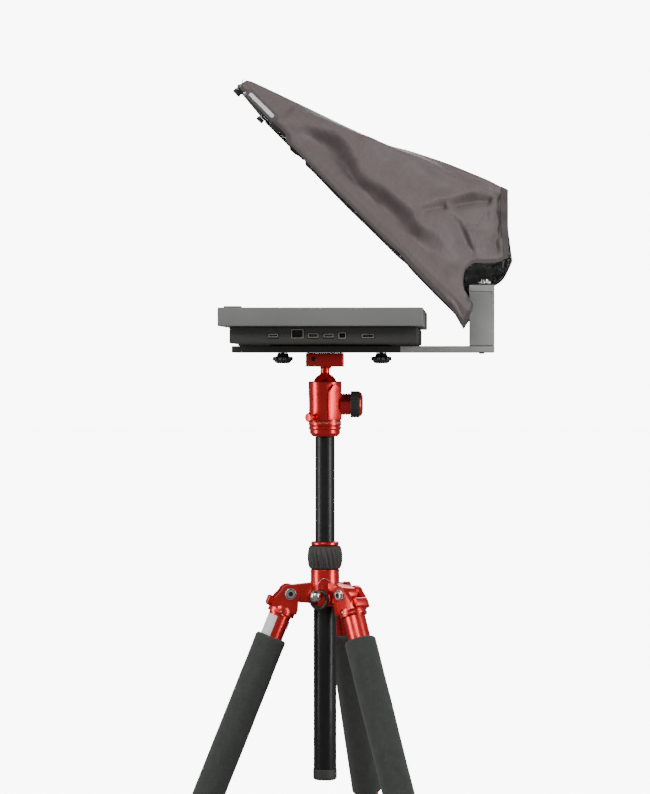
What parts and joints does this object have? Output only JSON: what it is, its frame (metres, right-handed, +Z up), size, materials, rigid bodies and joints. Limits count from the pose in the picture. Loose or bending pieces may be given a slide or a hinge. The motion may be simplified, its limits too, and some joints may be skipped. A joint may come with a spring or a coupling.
{
  "type": "teleprompter",
  "caption": "Camera teleprompter on a travel tripod: a face-up monitor on a rail, a tilting half-mirror glass with a cloth hood, a ball head, a sliding column and folding legs.",
  "frame": {"origin": "middle of the bounding box, at the floor under the feet", "axes": "+Z up; +X from the talent towards the camera; Y along the monitor's width, so that the glass tilts about Y"},
  "size_m": [0.4558, 0.4199, 1.0477],
  "materials": {
    "black_anodised": "satin black anodised aluminium",
    "black_rubber": "matt black rubber",
    "bright_steel": "bright machined steel",
    "circuit_board": "green board with port shells",
    "dark_plastic": "fine-textured dark plastic",
    "grey_foam": "closed-cell dark grey foam",
    "grey_painted_metal": "dark grey powder-coated aluminium",
    "grey_plastic": "brushed-looking grey plastic",
    "half_mirror": "half-silvered glass",
    "hood_cloth": "dark grey coated cloth with a soft sheen",
    "red_anodised": "bright red anodised aluminium",
    "screen_glass": "dark screen with a satin front"
  },
  "bodies": {
    "tripod": {"spider": "red_anodised", "column_sleeve": "black_anodised", "sleeve_end_cap": "black_rubber", "ring_stud": "bright_steel", "leg_1_hinge_bolt": "bright_steel", "leg_2_hinge_bolt": "bright_steel", "leg_3_hinge_bolt": "bright_steel"},
    "column_lock": {"collar_grip": "black_rubber", "collar_ring": "red_anodised"},
    "column": {"centre_column": "black_anodised", "pan_base": "red_anodised"},
    "ball_housing": {"head_housing": "red_anodised"},
    "ball_lock": {"ball_lock_knob": "red_anodised", "ball_lock_grip": "black_rubber"},
    "pan_lock": {"pan_lock_knob": "red_anodised"},
    "clamp": {"ball_and_stem": "red_anodised", "clamp_body": "red_anodised"},
    "jaw": {"clamp_jaw": "red_anodised"},
    "jaw_knob": {"clamp_knob": "bright_steel"},
    "prompter": {"quick_release_plate": "black_anodised", "base_rail": "grey_painted_metal", "upright_bracket": "grey_painted_metal", "upright_cap": "grey_painted_metal", "frame_bracket": "black_anodised", "bracket_nut": "bright_steel"},
    "monitor": {"vesa_plate": "black_anodised", "monitor_housing": "dark_plastic", "monitor_bezel": "grey_plastic", "lcd_panel": "screen_glass", "main_board": "circuit_board"},
    "front_knob": {"monitor_knob_front": "black_anodised"},
    "rear_knob": {"monitor_knob_rear": "black_anodised"},
    "button": {"power_button": "black_anodised"},
    "mirror": {"glass_frame": "black_anodised", "beam_splitter_glass": "half_mirror", "glass_retainer": "black_anodised", "hood": "hood_cloth"},
    "tilt_knob": {"tilt_lock_knob": "black_anodised"},
    "hanging_ring": {"accessory_ring": "black_rubber"},
    "leg_1": {"leg_1_casting": "red_anodised", "leg_1_upper_tube": "red_anodised", "leg_1_foam_grip": "grey_foam"},
    "leg_1_tab": {"leg_1_angle_tab": "red_anodised"},
    "leg_1_lock": {"leg_1_twist_lock": "black_rubber"},
    "leg_1_lower": {"leg_1_lower_tube": "black_anodised", "leg_1_foot": "black_rubber"},
    "leg_2": {"leg_2_casting": "red_anodised", "leg_2_upper_tube": "red_anodised", "leg_2_foam_grip": "grey_foam"},
    "leg_2_tab": {"leg_2_angle_tab": "red_anodised"},
    "leg_2_lock": {"leg_2_twist_lock": "black_rubber"},
    "leg_2_lower": {"leg_2_lower_tube": "black_anodised", "leg_2_foot": "black_rubber"},
    "leg_3": {"leg_3_casting": "red_anodised", "leg_3_upper_tube": "red_anodised", "leg_3_foam_grip": "grey_foam"},
    "leg_3_tab": {"leg_3_angle_tab": "red_anodised"},
    "leg_3_lock": {"leg_3_twist_lock": "black_rubber"},
    "leg_3_lower": {"leg_3_lower_tube": "black_anodised", "leg_3_foot": "black_rubber"}
  },
  "joints": [
    {"name": "column_slide", "type": "slide", "parent": "tripod", "child": "column", "axis": [0, 0, 1], "range_m": [-0.125, 0.03]},
    {"name": "column_lock_turn", "type": "hinge", "parent": "tripod", "child": "column_lock", "pos_m": [0.00168, -0.01431, 0.47151], "axis": [0, 0, 1], "range_deg": [-60, 60]},
    {"name": "head_pan", "type": "hinge", "parent": "column", "child": "ball_housing", "pos_m": [0.00168, -0.01431, 0.6419], "axis": [0, 0, 1], "continuous": true},
    {"name": "ball_lock_turn", "type": "hinge", "parent": "ball_housing", "child": "ball_lock", "pos_m": [0.00168, -0.01431, 0.66221], "axis": [1, 0, 0], "continuous": true},
    {"name": "pan_lock_turn", "type": "hinge", "parent": "ball_housing", "child": "pan_lock", "pos_m": [0.00168, -0.01431, 0.6459], "axis": [-0.6561, -0.7547, 0], "continuous": true},
    {"name": "ball_tilt", "type": "hinge", "parent": "ball_housing", "child": "clamp", "pos_m": [0.00168, -0.01431, 0.6859], "axis": [0, 1, 0], "range_deg": [-25, 25]},
    {"name": "jaw_knob_turn", "type": "hinge", "parent": "jaw", "child": "jaw_knob", "pos_m": [0.00168, -0.01431, 0.71291], "axis": [0, 1, 0], "range_deg": [0, 540]},
    {"name": "jaw_slide", "type": "slide", "parent": "clamp", "child": "jaw", "axis": [0, 1, 0], "range_m": [0, 0.0016]},
    {"name": "plate_slide", "type": "slide", "parent": "clamp", "child": "prompter", "axis": [1, 0, 0], "range_m": [-0.008, 0.008]},
    {"name": "monitor_slide", "type": "slide", "parent": "prompter", "child": "monitor", "axis": [1, 0, 0], "range_m": [-0.007, 0.007]},
    {"name": "front_knob_turn", "type": "hinge", "parent": "monitor", "child": "front_knob", "pos_m": [-0.05112, -0.01431, 0.7265], "axis": [0, 0, 1], "continuous": true},
    {"name": "rear_knob_turn", "type": "hinge", "parent": "monitor", "child": "rear_knob", "pos_m": [0.07208, -0.01431, 0.7265], "axis": [0, 0, 1], "continuous": true},
    {"name": "power_press", "type": "slide", "parent": "monitor", "child": "button", "axis": [0, 0, -1], "range_m": [0, 0.0008], "stiffness_N_per_m": 600, "springref_m": -0.0005},
    {"name": "mirror_tilt", "type": "hinge", "parent": "prompter", "child": "mirror", "pos_m": [0.16338, -0.01431, 0.8088], "axis": [0, 1, 0], "range_deg": [-45, 5]},
    {"name": "tilt_knob_turn", "type": "hinge", "parent": "mirror", "child": "tilt_knob", "pos_m": [0.16338, -0.01431, 0.8088], "axis": [0, -1, 0], "continuous": true},
    {"name": "ring_swing", "type": "hinge", "parent": "tripod", "child": "hanging_ring", "pos_m": [-0.00477, -0.03419, 0.42451], "axis": [-0.309, -0.9511, 0], "range_deg": [-40, 40]},
    {"name": "leg_1_fold", "type": "hinge", "parent": "tripod", "child": "leg_1", "pos_m": [0.0159, 0.02944, 0.42651], "axis": [-0.9511, 0.309, 0], "range_deg": [0, 22]},
    {"name": "leg_1_tab_pull", "type": "slide", "parent": "leg_1", "child": "leg_1_tab", "axis": [0.2865, 0.8818, 0.3746], "range_m": [0, 0.003], "stiffness_N_per_m": 800, "springref_m": -0.001},
    {"name": "leg_1_lock_turn", "type": "hinge", "parent": "leg_1", "child": "leg_1_lock", "pos_m": [0.06278, 0.17373, 0.05099], "axis": [-0.1158, -0.3563, 0.9272], "range_deg": [-60, 60]},
    {"name": "leg_1_extend", "type": "slide", "parent": "leg_1", "child": "leg_1_lower", "axis": [0.1158, 0.3563, -0.9272], "range_m": [0, 0.2]},
    {"name": "leg_2_fold", "type": "hinge", "parent": "tripod", "child": "leg_2", "pos_m": [-0.04331, -0.02388, 0.42651], "axis": [0.2079, -0.9781, 0], "range_deg": [0, 22]},
    {"name": "leg_2_tab_pull", "type": "slide", "parent": "leg_2", "child": "leg_2_tab", "axis": [-0.9069, -0.1928, 0.3746], "range_m": [0, 0.003], "stiffness_N_per_m": 800, "springref_m": -0.001},
    {"name": "leg_2_lock_turn", "type": "hinge", "parent": "leg_2", "child": "leg_2_lock", "pos_m": [-0.19171, -0.05542, 0.05099], "axis": [0.3664, 0.0779, 0.9272], "range_deg": [-60, 60]},
    {"name": "leg_2_extend", "type": "slide", "parent": "leg_2", "child": "leg_2_lower", "axis": [-0.3664, -0.0779, -0.9272], "range_m": [0, 0.2]},
    {"name": "leg_3_fold", "type": "hinge", "parent": "tripod", "child": "leg_3", "pos_m": [0.03246, -0.0485, 0.42651], "axis": [0.7431, 0.6691, 0], "range_deg": [0, 22]},
    {"name": "leg_3_tab_pull", "type": "slide", "parent": "leg_3", "child": "leg_3_tab", "axis": [0.6204, -0.689, 0.3746], "range_m": [0, 0.003], "stiffness_N_per_m": 800, "springref_m": -0.001},
    {"name": "leg_3_lock_turn", "type": "hinge", "parent": "leg_3", "child": "leg_3_lock", "pos_m": [0.13398, -0.16124, 0.05099], "axis": [-0.2507, 0.2784, 0.9272], "range_deg": [-60, 60]},
    {"name": "leg_3_extend", "type": "slide", "parent": "leg_3", "child": "leg_3_lower", "axis": [0.2507, -0.2784, -0.9272], "range_m": [0, 0.2]}
  ],
  "couplings": [
    {"joint": "jaw_slide", "follows": "jaw_knob_turn", "m_per_rad": 0.00015915}
  ]
}
